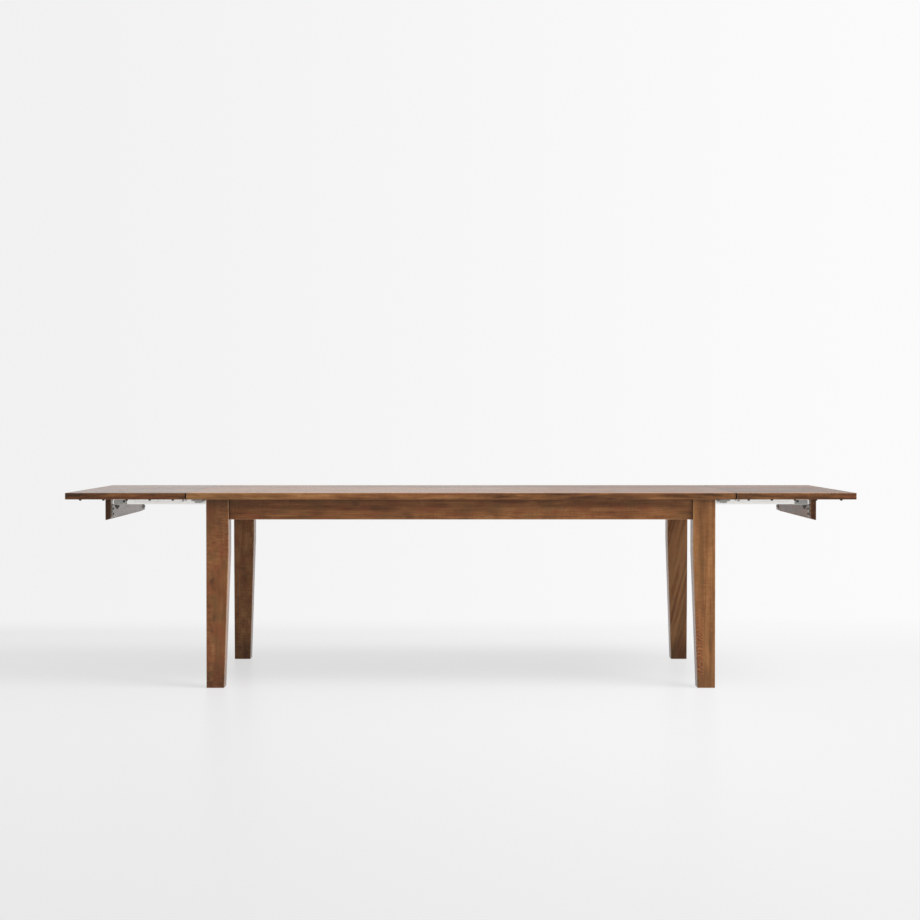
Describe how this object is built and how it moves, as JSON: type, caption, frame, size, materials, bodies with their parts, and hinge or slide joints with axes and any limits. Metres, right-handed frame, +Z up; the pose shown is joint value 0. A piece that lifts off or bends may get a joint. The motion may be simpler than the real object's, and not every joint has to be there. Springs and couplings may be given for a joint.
{
  "type": "extendable dining table",
  "caption": "Wooden dining table with tapered legs, pull-out end aprons on telescopic metal runners and removable end leaves held by dowels and latches.",
  "frame": {"origin": "on the floor, under the middle of the table", "axes": "+X along the table to its right end, +Y to its back, +Z up"},
  "size_m": [2.997, 0.965, 0.742],
  "materials": {
    "finished_wood": "satin lacquer",
    "inner_wood": "bare planed wood",
    "aluminium": "satin anodised",
    "zinc_steel": "zinc plated",
    "bumper_rubber": "matte",
    "nylon": "matte"
  },
  "bodies": {
    "frame": {"main_top": "finished_wood", "center_rail": "inner_wood", "front_apron": "finished_wood", "back_apron": "finished_wood", "left_cross_rail": "inner_wood", "right_cross_rail": "inner_wood", "front_left_leg": "finished_wood", "front_left_foot_glide": "nylon", "front_left_corner_block": "inner_wood", "front_left_runner_block": "inner_wood", "front_left_fixed_runner": "aluminium", "front_right_leg": "finished_wood", "front_right_foot_glide": "nylon", "front_right_corner_block": "inner_wood", "front_right_runner_block": "inner_wood", "front_right_fixed_runner": "aluminium", "back_left_leg": "finished_wood", "back_left_foot_glide": "nylon", "back_left_corner_block": "inner_wood", "back_left_runner_block": "inner_wood", "back_left_fixed_runner": "aluminium", "back_right_leg": "finished_wood", "back_right_foot_glide": "nylon", "back_right_corner_block": "inner_wood", "back_right_runner_block": "inner_wood", "back_right_fixed_runner": "aluminium", "leg_bolts": "zinc_steel", "leg_bolt_nuts": "zinc_steel", "runner_screws": "zinc_steel", "latch_pivots": "zinc_steel", "top_clips": "zinc_steel", "top_clip_screws": "zinc_steel"},
    "left_extension": {"left_end_apron": "finished_wood", "left_bracket_screws": "zinc_steel", "front_left_moving_runner": "aluminium", "front_left_bracket": "zinc_steel", "back_left_moving_runner": "aluminium", "back_left_bracket": "zinc_steel"},
    "left_middle_runners": {"front_left_middle_runner": "aluminium", "back_left_middle_runner": "aluminium"},
    "left_leaf": {"left_leaf": "finished_wood", "left_leaf_dowels": "inner_wood", "left_leaf_bumpers": "bumper_rubber", "left_leaf_latch_studs": "zinc_steel"},
    "right_extension": {"right_end_apron": "finished_wood", "right_bracket_screws": "zinc_steel", "front_right_moving_runner": "aluminium", "front_right_bracket": "zinc_steel", "back_right_moving_runner": "aluminium", "back_right_bracket": "zinc_steel"},
    "right_middle_runners": {"front_right_middle_runner": "aluminium", "back_right_middle_runner": "aluminium"},
    "right_leaf": {"right_leaf": "finished_wood", "right_leaf_dowels": "inner_wood", "right_leaf_bumpers": "bumper_rubber", "right_leaf_latch_studs": "zinc_steel"},
    "front_left_latch": {"front_left_latch_lever": "zinc_steel"},
    "front_right_latch": {"front_right_latch_lever": "zinc_steel"},
    "back_left_latch": {"back_left_latch_lever": "zinc_steel"},
    "back_right_latch": {"back_right_latch_lever": "zinc_steel"}
  },
  "joints": [
    {"name": "left_extension_slide", "type": "slide", "parent": "frame", "child": "left_extension", "axis": [-1, 0, 0], "range_m": [-0.4, 0]},
    {"name": "left_middle_runner_slide", "type": "slide", "parent": "frame", "child": "left_middle_runners", "axis": [-1, 0, 0], "range_m": [-0.2, 0]},
    {"name": "left_leaf_pull", "type": "slide", "parent": "frame", "child": "left_leaf", "axis": [-1, 0, 0], "range_m": [0, 0.36]},
    {"name": "right_extension_slide", "type": "slide", "parent": "frame", "child": "right_extension", "axis": [1, 0, 0], "range_m": [-0.4, 0]},
    {"name": "right_middle_runner_slide", "type": "slide", "parent": "frame", "child": "right_middle_runners", "axis": [1, 0, 0], "range_m": [-0.2, 0]},
    {"name": "right_leaf_pull", "type": "slide", "parent": "frame", "child": "right_leaf", "axis": [1, 0, 0], "range_m": [0, 0.36]},
    {"name": "front_left_latch_swing", "type": "hinge", "parent": "frame", "child": "front_left_latch", "pos_m": [-1.022, -0.415, 0.712], "axis": [0, 0, -1], "range_deg": [0, 180]},
    {"name": "front_right_latch_swing", "type": "hinge", "parent": "frame", "child": "front_right_latch", "pos_m": [1.022, -0.415, 0.712], "axis": [0, 0, 1], "range_deg": [0, 180]},
    {"name": "back_left_latch_swing", "type": "hinge", "parent": "frame", "child": "back_left_latch", "pos_m": [-1.022, 0.415, 0.712], "axis": [0, 0, 1], "range_deg": [0, 180]},
    {"name": "back_right_latch_swing", "type": "hinge", "parent": "frame", "child": "back_right_latch", "pos_m": [1.022, 0.415, 0.712], "axis": [0, 0, -1], "range_deg": [0, 180]}
  ],
  "couplings": [
    {"joint": "left_middle_runner_slide", "follows": "left_extension_slide", "ratio": 0.5},
    {"joint": "right_middle_runner_slide", "follows": "right_extension_slide", "ratio": 0.5}
  ]
}
